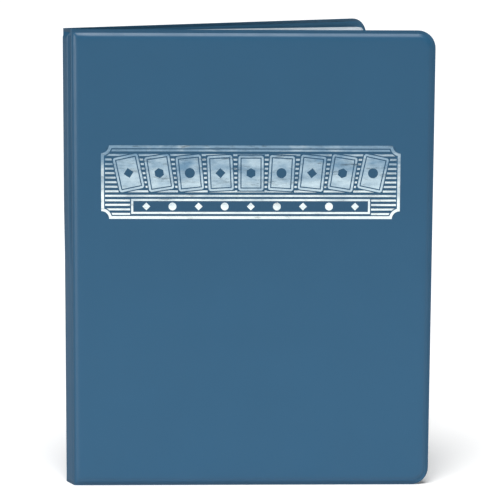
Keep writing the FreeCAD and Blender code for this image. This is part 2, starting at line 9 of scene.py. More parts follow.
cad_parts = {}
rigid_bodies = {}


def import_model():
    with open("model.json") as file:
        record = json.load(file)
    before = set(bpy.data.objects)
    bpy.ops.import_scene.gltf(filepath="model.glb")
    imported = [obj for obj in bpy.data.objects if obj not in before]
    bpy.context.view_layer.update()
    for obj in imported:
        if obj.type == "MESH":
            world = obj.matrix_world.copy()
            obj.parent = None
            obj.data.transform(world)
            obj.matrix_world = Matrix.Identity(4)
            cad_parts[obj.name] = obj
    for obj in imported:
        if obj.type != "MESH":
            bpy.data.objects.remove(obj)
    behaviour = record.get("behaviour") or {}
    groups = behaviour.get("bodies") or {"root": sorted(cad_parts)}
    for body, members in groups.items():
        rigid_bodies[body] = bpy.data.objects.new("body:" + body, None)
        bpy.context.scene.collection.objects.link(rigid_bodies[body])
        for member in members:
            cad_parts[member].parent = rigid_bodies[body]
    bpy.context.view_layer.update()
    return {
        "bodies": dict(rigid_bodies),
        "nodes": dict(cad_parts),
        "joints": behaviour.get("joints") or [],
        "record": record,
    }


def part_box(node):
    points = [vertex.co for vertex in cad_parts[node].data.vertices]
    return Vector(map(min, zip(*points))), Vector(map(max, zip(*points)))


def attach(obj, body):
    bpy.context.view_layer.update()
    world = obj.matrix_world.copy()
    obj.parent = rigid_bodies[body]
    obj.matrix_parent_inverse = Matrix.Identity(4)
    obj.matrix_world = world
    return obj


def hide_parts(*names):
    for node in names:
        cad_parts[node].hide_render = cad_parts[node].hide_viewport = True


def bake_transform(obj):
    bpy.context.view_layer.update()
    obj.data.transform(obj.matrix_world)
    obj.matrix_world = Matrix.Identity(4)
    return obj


# The looks of a collectors' card album: vinyl covers with boards sealed in them, welded rims and
# live hinges, clear nine-pocket leaves, a foil emblem, and the binding inside the spine.

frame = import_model()
MM = 0.001
JOINTS = {joint["name"]: joint for joint in frame["joints"]}
SHARES = {c["joint"]: c["ratio"] for c in frame["record"]["behaviour"]["couplings"]}

# ---------------------------------------------------------------- sizes read from the frame


def joint_place(name):
    return Vector(JOINTS[name]["pos_m"])


FRONT_HINGE = joint_place("front_cover_hinge")
BACK_HINGE = joint_place("back_cover_hinge")
FRONT_OPEN = math.radians(-JOINTS["front_cover_hinge"]["range_deg"][0])
BACK_OPEN = math.radians(-JOINTS["back_cover_hinge"]["range_deg"][0])
SPINE_WIDE = (BACK_HINGE - FRONT_HINGE).xy.length
skin_low, skin_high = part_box("front_cover_skin")
COVER_WIDE = skin_high.x - FRONT_HINGE.x
COVER_TALL = skin_high.z
COVER_OUT = FRONT_HINGE.y - skin_low.y
LINER_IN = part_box("front_cover_liner")[1].y - FRONT_HINGE.y
PAGE_LOW = joint_place("page_01_crease").z
PAGE_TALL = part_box("page_01_margin")[1].z - PAGE_LOW
PAGE_NAMES = sorted(name for name in frame["bodies"] if name.startswith("page_"))

# ---------------------------------------------------------------- sizes of the looks

SHARP = math.radians(38)    # edges that turn more than this are drawn sharp
CORNER_RADIUS = 11.3 * MM
WELD_THICK = 0.35 * MM      # vinyl pressed thin over a hinge line and along the edges
RIM_HIGH = 0.36 * MM        # vinyl on the rest of the rim
SKIN_THICK = 0.4 * MM
RIM_WIDE = 2.0 * MM         # flat welded rim
GUTTER_WIDE = 1.0 * MM      # hinge line to the foot of a cover's raised panel
SPINE_GUTTER = 1.1 * MM     # hinge line to the foot of the spine's raised panel
SHOULDER_WIDE = 1.6 * MM    # scale of the soft rise from the rim up to a cover's flat face
SPINE_SHOULDER = 1.0 * MM   # and of the spine's rise to each side
SHOULDER_POWER = 1.5        # how rounded the rise is at its foot
SHOULDER_STEPS = (0, 0.1, 0.25, 0.45, 0.7, 1.0, 1.3, 1.65, 2.05, 2.5, 3.1, 4.0)     # mm in from its foot
FACE_STEPS = (5.5, 8, 13, 21, 32, 48, 66, 84, 102)      # the same, on the flat face
SPINE_FOOT = 0.2            # share of the spine's relief left where the album stands on it
SPINE_WORN = (0.30, 0.65)   # shares of its height between which the relief grows back
SPINE_CROWN = 0.12          # share of the spine's relief lost at its two sides
ACROSS_STEPS = 26           # parts that a cover's outline is cut into: along its upper and lower edge,
UPWARD_STEPS = 30           # up its free edge,
HINGE_STEPS = 34            # and up its hinge line
ARC_STEPS = 9               # parts that each rounded corner is cut into
NEAR_SPREAD = 1.2 * MM      # how far the extra points at a hinge-side corner stand from it
FOLD_REACH = 0.9 * MM       # the vinyl bends this far to each side of a hinge line
SEAM = 1.0 * MM             # where a cover's vinyl meets the spine's, beside the hinge line
SEAM_STEPS = (0.0, 0.2, 0.4, 0.65, 1.0)         # shares of the way from the hinge line to the seam
GROOVE_DEEP = 0.09 * MM     # pressed into the outer vinyl along the hinge line
GROOVE_WIDE = 0.35 * MM
LINING_DEEP = 0.05 * MM     # and into the inner vinyl
LINING_WIDE = 0.4 * MM
LINING_EDGE = ((0.0, 0.25), (0.3, 0.28), (1.5, 0.28), (1.8, 0.20), (2.2, 0.20), (2.6, 0.30), (3.4, 0.35))
LINING_FACE = tuple((inset, 0.36) for inset in (6, 14, 30, 50, 74, 100))    # mm in from its edge, mm deep
PRESS_DEEP = 0.08 * MM      # the weld's line across the spine's inner vinyl, at its two ends
PRESS_WIDE = 0.35 * MM
PRESS_INSET = 2.0 * MM
FILM = 0.12 * MM
FILM_START = 0.26 * MM      # crease line to the edge of the films
POCKET_WIDE = 66.7 * MM
POCKET_TALL = 93.3 * MM
WELD_LINE = 2.0 * MM
PAGE_SLOPE = 0.0165         # sag of a leaf per length from its crease
PAGE_CORNER = 3.0 * MM
MOUTH_TALL = 2.4 * MM       # front film cut away above each pocket,
MOUTH_END = 0.7 * MM        # but for this much at each side
PILLOW = 0.30 * MM          # how far a pocket's front film stands off in the middle,
PILLOW_RIPPLE = 0.08 * MM   # give or take this much,
PILLOW_EDGE = 0.06 * MM     # and just inside the welds
CROSS_STEPS = (0, 0.7, 2.2, 5, 10, 20, 33.35)                   # mm from a pocket's side, to its middle
RISE_STEPS = (0, 0.7, 2.2, 5, 10, 20, 34, 50, 66, 80, 88)       # mm up from a pocket's bottom
HAIR = 1e-7                 # slack for points that lie on a pocket's edge
NOISE_LOW = 0.3             # most values of a noise lie between these two
NOISE_HIGH = 0.7
SPINE_PAINTED_SHADE = 0.80          # colour of the spine's vinyl, as a share of the covers': painted shade, since it is the same vinyl turned away from the light
WELD_TONE_AND_PAINTED_SHADE = 0.76           # colour of welded vinyl, as a share of the rest: partly the weld's pressed finish, partly painted shade of the recessed rims and hinge grooves
STAMP_SHADE = 0.78          # and of the ground that the emblem's stamp pressed
STAMP_INSET = 3.0 * MM      # the emblem's ends to that ground, past its hollow corners
EDGE_SOFT = 0.25 * MM       # half the width over which those shades fade


# ---------------------------------------------------------------- meshes
# A sheet is drawn flat, as points along and up it with an outer and an inner height, and is then
# placed in the frame. Its edges are closed with walls, so every piece is a solid.

class Sheet:
    def __init__(self):
        self.points = []
        self.faces = []
        self.kinds = []
        self.known = {}

    def point(self, along, up, outer, inner):
        key = (round(along / MM, 3), round(up / MM, 3))
        if key not in self.known:
            self.known[key] = len(self.points)
            self.points.append((along, up, outer, inner))
        return self.known[key]

    def face(self, corners, kind=0):
        self.faces.append(list(dict.fromkeys(corners)))
        self.kinds.append(kind)


def edge_walls(faces, count):
    """Quads that join the outer and inner side along every edge used by one face only."""
    used = {}
    for face in faces:
        for a, b in zip(face, face[1:] + face[:1]):
            used[(a, b)] = True
    return [(b, a, a + count, b + count) for a, b in used if (b, a) not in used]


def solid(name, sheet, place, materials):
    """The sheet as a closed solid; place(along, up, height) gives a point of the frame."""
    count = len(sheet.points)
    outer = [place(along, up, high) for along, up, high, _ in sheet.points]
    inner = [place(along, up, low) for along, up, _, low in sheet.points]
    walls = edge_walls(sheet.faces, count)
    under = [[corner + count for corner in reversed(face)] for face in sheet.faces]
    mesh = bpy.data.meshes.new(name)
    mesh.from_pydata(outer + inner, [], sheet.faces + under + walls)
    mesh.polygons.foreach_set("material_index", sheet.kinds * 2 + [0] * len(walls))
    shape = bmesh.new()
    shape.from_mesh(mesh)
    bmesh.ops.recalc_face_normals(shape, faces=shape.faces)
    shape.to_mesh(mesh)
    shape.free()
    # The place as drawn flat, which the materials read: along, height off the panel, up.
    drawn = [(along, high, up) for along, up, high, _ in sheet.points]
    drawn += [(along, low, up) for along, up, _, low in sheet.points]
    flat = mesh.attributes.new("drawn_place", "FLOAT_VECTOR", "POINT")
    flat.data.foreach_set("vector", np.array(drawn, np.float32).ravel())
    mesh.shade_smooth()
    mesh.set_sharp_from_angle(angle=SHARP)
    for material in materials:
        mesh.materials.append(material)
    piece = bpy.data.objects.new(name, mesh)
    bpy.context.scene.collection.objects.link(piece)
    return piece


def ease(distance, reach):
    """Smooth rise from 0 to 1 over the reach."""
    t = min(max(distance / reach, 0.0), 1.0)
    return t * t * (3 - 2 * t)


def hump(distance, wide):
    """1 at no distance, and soon 0 beyond the width."""
    return math.exp(-(distance / wide) ** 2)


def shoulder(depth, wide=SHOULDER_WIDE):
    """Share of the full height at a distance in from the foot of the shoulder."""
    return 1 - math.exp(-(max(depth, 0.0) / wide) ** SHOULDER_POWER)


def rounded_loop(free, hinge, near):
    """Points round a cover, in from its free edges and its hinge line by the insets given."""
    left, right = hinge, COVER_WIDE - free
    low, high = free, COVER_TALL - free
    far = max(CORNER_RADIUS - free, 0.5 * MM)
    spread = near or NEAR_SPREAD
    cut = near * (1 - math.sqrt(0.5))
    loop = [(left, low + spread), (left + cut, low + cut), (left + spread, low)]
    wide = right - far - left - spread
    tall = high - low - 2 * far
    across = [left + spread + wide * i / ACROSS_STEPS for i in range(1, ACROSS_STEPS)]
    upward = [low + far + tall * i / UPWARD_STEPS for i in range(1, UPWARD_STEPS)]
    arc = [math.radians(i * 90 / ARC_STEPS) for i in range(ARC_STEPS + 1)]
    loop += [(x, low) for x in across]
    loop += [(right - far + far * math.sin(a), low + far - far * math.cos(a)) for a in arc]
    loop += [(right, z) for z in upward]
    loop += [(right - far + far * math.cos(a), high - far + far * math.sin(a)) for a in arc]
    loop += [(x, high) for x in reversed(across)]
    loop += [(left + spread, high), (left + cut, high - cut), (left, high - spread)]
    tall = high - low - 2 * spread
    side = [low + spread + tall * i / HINGE_STEPS for i in range(1, HINGE_STEPS)]
    loop += [(left, z) for z in reversed(side)]
    return loop


def fill_rings(sheet, loops):
    """Quads between each ring of points and the next, and one face inside the last."""
    for ring, inward in zip(loops, loops[1:]):
        for i in range(len(ring)):
            j = (i + 1) % len(ring)
            sheet.face([ring[i], ring[j], inward[j], inward[i]])
    sheet.face(loops[-1])


def cover_sheet(rings, hinge_height):
    """A cover's sheet: rings of (free inset, hinge inset, near radius, outer, inner), outermost
    first, and the strip over the hinge line whose heights hinge_height(along) gives."""
    sheet = Sheet()
    loops = []
    for free, hinge, near, outer, inner in rings:
        loop = []
        for along, up in rounded_loop(free, hinge, near):
            high, low = outer, inner
            if along < GUTTER_WIDE and free < RIM_WIDE:
                high, low = hinge_height(along)
            loop.append(sheet.point(along, up, high, low))
        loops.append(loop)
    fill_rings(sheet, loops)
    levels = sorted(up for along, up, _, _ in sheet.points if along == 0)
    strips = [-share * SEAM for share in SEAM_STEPS]
    for right, left in zip(strips, strips[1:]):
        for low, high in zip(levels, levels[1:]):
            spots = ((left, low), (right, low), (right, high), (left, high))
            sheet.face([sheet.point(x, z, *hinge_height(x)) for x, z in spots])
    return sheet


def grid_sheet(lines_along, lines_up, heights, keep=None, kind=None, bend=None):
    """A sheet on a grid; keep and kind look at the middle of a cell, bend moves its points."""
    sheet = Sheet()
    for x0, x1 in zip(lines_along, lines_along[1:]):
        for z0, z1 in zip(lines_up, lines_up[1:]):
            middle = ((x0 + x1) / 2, (z0 + z1) / 2)
            if keep and not keep(*middle):
                continue
            spots = ((x0, z0), (x1, z0), (x1, z1), (x0, z1))
            corners = []
            for spot in spots:
                x, z = bend(*spot) if bend else spot
                corners.append(sheet.point(x, z, *heights(x, z)))
            sheet.face(corners, kind(*middle) if kind else 0)
    return sheet


# ---------------------------------------------------------------- places in the frame

def flat_frame(origin, turn, side):
    """Origin, direction along and direction out of a panel; side is -1 or 1 for the outside."""
    along = Vector((math.cos(turn), math.sin(turn), 0))
    out = Vector((-along.y, along.x, 0)) * side
    return origin, along, out


def on_panel(panel):
    origin, along, out = panel

    def place(x, z, high):
        return origin + along * x + out * high + Vector((0, 0, z))
    return place


def over_hinge(spine_panel, cover_panel):
    """Follows the spine before the hinge line and the cover after it, with a smooth bend."""
    before = on_panel(spine_panel)
    after = on_panel(cover_panel)

    def place(x, z, high):
        return before(x, z, high).lerp(after(x, z, high), ease(x + FOLD_REACH, 2 * FOLD_REACH))
    return place


TOTAL_OPEN = FRONT_OPEN + BACK_OPEN
TO_FRONT = FRONT_OPEN - math.pi / 2
TO_BACK = FRONT_OPEN + math.pi / 2
SIDES = {
    "front": (flat_frame(FRONT_HINGE, TO_FRONT, -1), flat_frame(FRONT_HINGE, 0.0, -1)),
    "back": (flat_frame(BACK_HINGE, TO_BACK, 1), flat_frame(BACK_HINGE, TOTAL_OPEN, 1)),
}
SPINE_PANEL = flat_frame(FRONT_HINGE, TO_BACK, 1)


# ---------------------------------------------------------------- materials

def new_material(name):
    material = bpy.data.materials.new(name)
    material.use_nodes = True
    nodes = material.node_tree.nodes
    return material, nodes, material.node_tree.links, nodes["Principled BSDF"]


def add(nodes, kind, **values):
    """A node with its properties and, where a name is an input's, its input values."""
    node = nodes.new(kind)
    for name, value in values.items():
        if hasattr(node, name):
            setattr(node, name, value)
        else:
            node.inputs[name.replace("_", " ")].default_value = value
    return node


def surface_place(nodes, drawn):
    """Coordinates that stay on the surface: as drawn flat, or the piece's own."""
    if drawn:
        return add(nodes, "ShaderNodeAttribute", attribute_name="drawn_place").outputs["Vector"]
    return add(nodes, "ShaderNodeTexCoord").outputs["Object"]


def noise_at(nodes, links, place, size, detail=2.0, roughness=0.5, stretch=None):
    """Noise whose features are about size metres across."""
    source = place
    if stretch:
        mapping = add(nodes, "ShaderNodeMapping")
        mapping.inputs["Scale"].default_value = stretch
        links.new(place, mapping.inputs["Vector"])
        source = mapping.outputs["Vector"]
    made = add(nodes, "ShaderNodeTexNoise", Scale=1 / size, Detail=detail, Roughness=roughness)
    links.new(source, made.inputs["Vector"])
    return made.outputs["Fac"]


def ramp(nodes, links, source, low, high, to_low, to_high):
    made = add(nodes, "ShaderNodeMapRange")
    for name, value in (("From Min", low), ("From Max", high), ("To Min", to_low), ("To Max", to_high)):
        made.inputs[name].default_value = value
    links.new(source, made.inputs["Value"])
    return made.outputs["Result"]


def noise_ramp(nodes, links, source, to_low, to_high):
    """A noise's usual range, mapped to another."""
    return ramp(nodes, links, source, NOISE_LOW, NOISE_HIGH, to_low, to_high)


def add_values(nodes, links, first, second):
    """The sum of two values, kept between 0 and 1."""
    made = add(nodes, "ShaderNodeMath", operation="ADD", use_clamp=True)
    links.new(first, made.inputs[0])
    links.new(second, made.inputs[1])
    return made.outputs["Value"]


def mix_colours(nodes, links, share, first, second):
    made = add(nodes, "ShaderNodeMix", data_type="RGBA")
    links.new(share, made.inputs["Factor"])
    for socket, value in ((made.inputs[6], first), (made.inputs[7], second)):
        if isinstance(value, tuple):
            socket.default_value = value
        else:
            links.new(value, socket)
    return made.outputs[2]


def bumps(nodes, links, shader, layers):
    """Stacks bump layers of (height source, depth in metres, strength) on a shader."""
    below = None
    for source, depth, strength in layers:
        made = add(nodes, "ShaderNodeBump", Strength=strength, Distance=depth)
        links.new(source, made.inputs["Height"])
        if below:
            links.new(below, made.inputs["Normal"])
        below = made.outputs["Normal"]
    links.new(below, shader.inputs["Normal"])


def scaled(colour, share):
    return tuple(value * share for value in colour[:3]) + (1,)


def within(nodes, links, place, spans):
    """1 inside the spans (low, high, softness of the edges) along and up a drawn sheet, else 0."""
    split = add(nodes, "ShaderNodeSeparateXYZ")
    links.new(place, split.inputs["Vector"])
    total = None
    for source, (low, high, soft) in zip((split.outputs["X"], split.outputs["Z"]), spans):
        for edge, side in ((low, soft), (high, -soft)):
            step = ramp(nodes, links, source, edge - side, edge + side, 0, 1)
            if total:
                both = add(nodes, "ShaderNodeMath", operation="MULTIPLY")
                links.new(total, both.inputs[0])
                links.new(step, both.inputs[1])
                step = both.outputs["Value"]
            total = step
    return total


def vinyl_colour(nodes, links, place, colour, shade):
    """Slow clouds between the two colours, and painted floor light: more of colour towards the foot, more
    of shade towards the top.
    """
    clouds = noise_at(nodes, links, place, 45 * MM, 3)
    cloudy = noise_ramp(nodes, links, clouds, 0.35, 0.65)
    split = add(nodes, "ShaderNodeSeparateXYZ")
    links.new(place, split.inputs["Vector"])
    # painted floor bounce light: lighter towards the foot, darker towards the top
    low, high = 0.25 * COVER_TALL, 0.7 * COVER_TALL
    painted_floor_light = ramp(nodes, links, split.outputs["Z"], low, high, 0.4, -0.4)
    share = add_values(nodes, links, cloudy, painted_floor_light)
    return mix_colours(nodes, links, share, shade, colour)


def weld_finish_and_painted_shade(nodes, links, place, body, colour, across):
    """The body colour inside the span across and between the rims, and a darker one outside: the weld's
    pressed finish with painted shade of the recessed rims and hinge grooves.
    """
    upward = (RIM_WIDE, COVER_TALL - RIM_WIDE, EDGE_SOFT)
    inside = within(nodes, links, place, (across, upward))
    return mix_colours(nodes, links, inside, scaled(colour, WELD_TONE_AND_PAINTED_SHADE), body)


def darker_stamp(nodes, links, place, body, colour):
    """A darker ground where the emblem's stamp pressed the front cover."""
    low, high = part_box("foil_border")
    left = low.x + STAMP_INSET - FRONT_HINGE.x
    right = high.x - STAMP_INSET - FRONT_HINGE.x
    spans = ((left, right, EDGE_SOFT), (low.z + MM, high.z - MM, EDGE_SOFT))
    inside = within(nodes, links, place, spans)
    return mix_colours(nodes, links, inside, body, scaled(colour, STAMP_SHADE))


def vinyl(name, colour, shade, gloss, across, stamped=False):
    """Calendered vinyl: a fine grain, slow waves over the board, painted floor light towards the foot,
    and darker where it is stamped or welded; on the welds this is partly painted shade of the recesses."""
    material, nodes, links, shader = new_material(name)
    place = surface_place(nodes, True)
    body = vinyl_colour(nodes, links, place, colour, shade)
    # welded strips darker: the pressed finish and painted recess shade
    body = weld_finish_and_painted_shade(nodes, links, place, body, colour, across)
    if stamped:
        body = darker_stamp(nodes, links, place, body, colour)
    links.new(body, shader.inputs["Base Color"])
    rubbed = noise_at(nodes, links, place, 18 * MM, 4)
    links.new(noise_ramp(nodes, links, rubbed, gloss, gloss + 0.08), shader.inputs["Roughness"])
    weight = add(nodes, "ShaderNodeLayerWeight", Blend=0.5)
    shine = ramp(nodes, links, weight.outputs["Facing"], 0.3, 0.75, 0.38, 0.02)
    links.new(shine, shader.inputs["Specular IOR Level"])
    grain = noise_at(nodes, links, place, 0.55 * MM, 3, 0.6)
    pebble = noise_at(nodes, links, place, 1.7 * MM, 2)
    waves = noise_at(nodes, links, place, 38 * MM, 1, 0.4)
    bumps(nodes, links, shader, (
        (waves, 0.55 * MM, 0.35), (pebble, 0.05 * MM, 0.25), (grain, 0.05 * MM, 0.3)))
    return material


def clear_film(name, sight, edge_sight, roughness, ribbed=False):
    """Thin polypropylene: mostly seen through, whiter at a glancing angle."""
    material, nodes, links, shader = new_material(name)
    place = surface_place(nodes, True)
    weight = add(nodes, "ShaderNodeLayerWeight", Blend=0.35)
    sheer = ramp(nodes, links, weight.outputs["Facing"], 0.0, 1.0, sight, edge_sight)
    links.new(sheer, shader.inputs["Alpha"])
    shader.inputs["Base Color"].default_value = (0.86, 0.93, 0.98, 1)
    shader.inputs["Roughness"].default_value = roughness
    shader.inputs["Specular IOR Level"].default_value = 0.6
    if ribbed:
        ribs = add(nodes, "ShaderNodeTexVoronoi", Scale=1 / (0.8 * MM))
        links.new(place, ribs.inputs["Vector"])
        layer = (ribs.outputs["Distance"], 0.08 * MM, 0.6)
    else:
        layer = (noise_at(nodes, links, place, 22 * MM, 0), 0.5 * MM, 0.5)
    bumps(nodes, links, shader, (layer,))
    return material


def foil(name, upper, lower):
    """Hot-stamped silver foil, gently creased, with a painted reflection in its colour: cool and dark in
    the upper part, bright below.
    """
    material, nodes, links, shader = new_material(name)
    place = surface_place(nodes, False)
    low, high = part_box("foil_border")
    split = add(nodes, "ShaderNodeSeparateXYZ")
    links.new(place, split.inputs["Vector"])
    # painted reflection: dark blue above, near white below, in slow patches
    rise = ramp(nodes, links, split.outputs["Z"], low.z, high.z, -0.12, 1.0)
    drift = noise_at(nodes, links, place, 13 * MM, 3, 0.6, (0.8, 1.0, 1.8))
    shift = ramp(nodes, links, drift, 0.25, 0.75, -0.4, 0.4)
    share = add_values(nodes, links, rise, shift)
    links.new(mix_colours(nodes, links, share, lower, upper), shader.inputs["Base Color"])
    shader.inputs["Metallic"].default_value = 1.0
    streak = noise_at(nodes, links, place, 3 * MM, 2)
    links.new(noise_ramp(nodes, links, streak, 0.12, 0.24), shader.inputs["Roughness"])
    folds = noise_at(nodes, links, place, 8 * MM, 2, 0.5, (0.6, 1.0, 1.4))
    bumps(nodes, links, shader, ((folds, 0.8 * MM, 0.5), (streak, 0.03 * MM, 0.4)))
    return material


def moulded(name, colour, roughness, grain, metallic=0.0, drawn=False, stretch=None):
    """Plastic, board or wire with a fine grain of its own."""
    material, nodes, links, shader = new_material(name)
    place = surface_place(nodes, drawn)
    fine = noise_at(nodes, links, place, grain, 3, 0.6, stretch)
    broad = noise_at(nodes, links, place, grain * 14, 2)
    share = noise_ramp(nodes, links, broad, 0, 1)
    body = mix_colours(nodes, links, share, scaled(colour, 0.86), colour)
    links.new(body, shader.inputs["Base Color"])
    uneven = noise_ramp(nodes, links, fine, roughness - 0.06, roughness + 0.08)
    links.new(uneven, shader.inputs["Roughness"])
    shader.inputs["Metallic"].default_value = metallic
    bumps(nodes, links, shader, ((fine, grain * 0.12, 0.35),))
    return material


BLUE = (0.0185, 0.0995, 0.194, 1)
BLUE_SHADE = (0.0160, 0.0885, 0.173, 1)
# The lining is the same blue vinyl, made lighter as painted light for the shade it lies in between the
# covers
LINING = (0.024, 0.108, 0.196, 1)
LINING_SHADE = (0.022, 0.101, 0.185, 1)

# The spine's vinyl, darkened by a painted shade
SPINE_BLUE = scaled(BLUE, SPINE_PAINTED_SHADE)
SPINE_BLUE_SHADE = scaled(BLUE_SHADE, SPINE_PAINTED_SHADE)
# Spans outside which the vinyl takes the weld colour, partly painted shade of the rims and hinge grooves
ON_COVER = (0.6 * MM, COVER_WIDE - RIM_WIDE, EDGE_SOFT)
ON_SPINE = (1.0 * MM, SPINE_WIDE - 1.0 * MM, 0.4 * MM)

OUTER_VINYL = vinyl("outer_vinyl", BLUE, BLUE_SHADE, 0.38, ON_COVER)
FRONT_VINYL = vinyl("front_vinyl", BLUE, BLUE_SHADE, 0.38, ON_COVER, stamped=True)
SPINE_VINYL = vinyl("spine_vinyl", SPINE_BLUE, SPINE_BLUE_SHADE, 0.38, ON_SPINE)
INNER_VINYL = vinyl("inner_vinyl", LINING, LINING_SHADE, 0.40, ON_COVER)
BOARD = moulded("chipboard", (0.42, 0.38, 0.32, 1), 0.9, 0.6 * MM, drawn=True)
FILM_CLEAR = clear_film("film_clear", 0.04, 0.42, 0.14)
FILM_WELD = clear_film("film_weld", 0.26, 0.62, 0.34, ribbed=True)
MARGIN = moulded("frosted_margin", (0.80, 0.86, 0.90, 1), 0.42, 0.5 * MM)
CHANNEL = moulded("binding_plastic", (0.74, 0.79, 0.83, 1), 0.38, 0.7 * MM)
WIRE = moulded("staple_wire", (0.62, 0.63, 0.65, 1), 0.28, 0.2 * MM, metallic=1.0, stretch=(1, 1, 0.1))
# Foil colours, above and below: a painted reflection
FOIL = foil("stamped_foil", (0.20, 0.32, 0.43, 1), (0.86, 0.95, 0.95, 1))
FOIL_CARDS = foil("stamped_foil_cards", (0.16, 0.28, 0.40, 1), (0.62, 0.76, 0.82, 1))


# ---------------------------------------------------------------- covers and spine

def skin_under(outer):
    return max(0.0, outer - SKIN_THICK)


def skin_rings():
    """The outer vinyl of a cover: rim, shoulder and flat face."""
    rings = [
        (0.0, 0.0, 0.0, WELD_THICK, 0.0),
        (0.25 * MM, 0.25 * MM, 0.5 * MM, RIM_HIGH, 0.0),
        (RIM_WIDE - 0.2 * MM, GUTTER_WIDE - 0.2 * MM, 0.8 * MM, RIM_HIGH, 0.0),
    ]
    for step in SHOULDER_STEPS + FACE_STEPS:
        depth = step * MM
        outer = RIM_HIGH + (COVER_OUT - RIM_HIGH) * shoulder(depth)
        near = min(1.0 * MM + depth * 0.4, 4 * MM)
        rings.append((RIM_WIDE + depth, GUTTER_WIDE + depth, near, outer, skin_under(outer)))
    return rings


def groove(along):
    """Heights of the welded vinyl over the hinge line, pressed in along it."""
    return WELD_THICK - GROOVE_DEEP * hump(along, GROOVE_WIDE), 0.0


def lining_rings():
    """The inner vinyl of a cover, with the weld's pressed line inside its rim."""
    rings = []
    for inset, deep in LINING_EDGE + LINING_FACE:
        near = 0.0 if inset == 0 else min(0.5 + inset / 5, 4.0) * MM
        rings.append((inset * MM, inset * MM, near, 0.0, -deep * MM))
    return rings


def lining_groove(along):
    return 0.0, -LINER_IN + LINING_DEEP * hump(along, LINING_WIDE)


def board_rings():
    """The board fills the outer vinyl's underside."""
    rings = [ring for ring in skin_rings() if ring[4] > 0.1 * MM]
    return [(free, hinge, near, under, 0.0) for free, hinge, near, _, under in rings]


def board_sheet():
    """The board on its own: it stops short of the hinge line and all the rims."""
    sheet = Sheet()
    loops = []
    for free, hinge, near, outer, inner in board_rings():
        loops.append([sheet.point(x, z, outer, inner) for x, z in rounded_loop(free, hinge, near)])
    fill_rings(sheet, loops)
    return sheet


def make_cover(side):
    spine_panel, cover_panel = SIDES[side]
    place = over_hinge(spine_panel, cover_panel)
    body = f"{side}_cover"

    vinyl_used = FRONT_VINYL if side == "front" else OUTER_VINYL
    skin = solid(f"{body}_vinyl", cover_sheet(skin_rings(), groove), place, [vinyl_used])
    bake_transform(skin)
    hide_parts(f"{body}_skin", f"{side}_fold")

    lining = solid(f"{body}_lining", cover_sheet(lining_rings(), lining_groove), place, [INNER_VINYL])
    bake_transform(lining)
    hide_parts(f"{body}_liner")

    board = solid(f"{body}_stiffener", board_sheet(), on_panel(cover_panel), [BOARD])
    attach(board, body)
    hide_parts(f"{body}_board")


def spine_lines(edge, reach, foot, spacing):
    """Grid lines from one edge to the other, close together on the two shoulders."""
    start = [edge, foot - 0.15 * MM] + [foot + step * MM for step in SHOULDER_STEPS]
    end = [reach - line for line in reversed(start)]
    middle = np.linspace(start[-1], end[0], max(2, round((end[0] - start[-1]) / spacing) + 1))
    return start[:-1] + [float(line) for line in middle] + end[1:]


def spine_rise(along, up):
    """Share of the full height on the spine's panel, with rounded corners."""
    side = min(along, SPINE_WIDE - along) - SPINE_GUTTER
    end = min(up, COVER_TALL - up) - RIM_WIDE
    start, full = (share * COVER_TALL for share in SPINE_WORN)
    worn = SPINE_FOOT + (1 - SPINE_FOOT) * ease(up - start, full - start)
    crown = 1 - SPINE_CROWN * (2 * along / SPINE_WIDE - 1) ** 2
    return shoulder(side, SPINE_SHOULDER) * shoulder(end) * worn * crown


def spine_skin(along, up):
    outer = RIM_HIGH + (COVER_OUT - RIM_HIGH) * spine_rise(along, up)
    return outer, skin_under(outer)


def spine_board(along, up):
    return max(spine_skin(along, up)[1], 0.02 * MM), 0.0


def spine_lining(along, up):
    edge = min(up, COVER_TALL - up)
    return 0.0, -LINER_IN + PRESS_DEEP * hump(edge - PRESS_INSET, PRESS_WIDE)


def make_spine():
    place = on_panel(SPINE_PANEL)
    along = spine_lines(SEAM, SPINE_WIDE, SPINE_GUTTER, 0.6 * MM)
    up = spine_lines(0.0, COVER_TALL, RIM_WIDE, 9 * MM)

    def over_board(x, z):
        return spine_skin(x, z)[1] > 0.2 * MM

    made = (
        ("spine_vinyl", spine_skin, None, SPINE_VINYL, "spine_skin", "vinyl_outer"),
        ("spine_stiffener", spine_board, over_board, BOARD, "spine_board", "board"),
        ("spine_lining", spine_lining, None, INNER_VINYL, "spine_liner", "vinyl_inner"),
    )
    for name, heights, keep, material, node, slot in made:
        piece = solid(name, grid_sheet(along, up, heights, keep), place, [material])
        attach(piece, "spine")
        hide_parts(node)


# ---------------------------------------------------------------- leaves

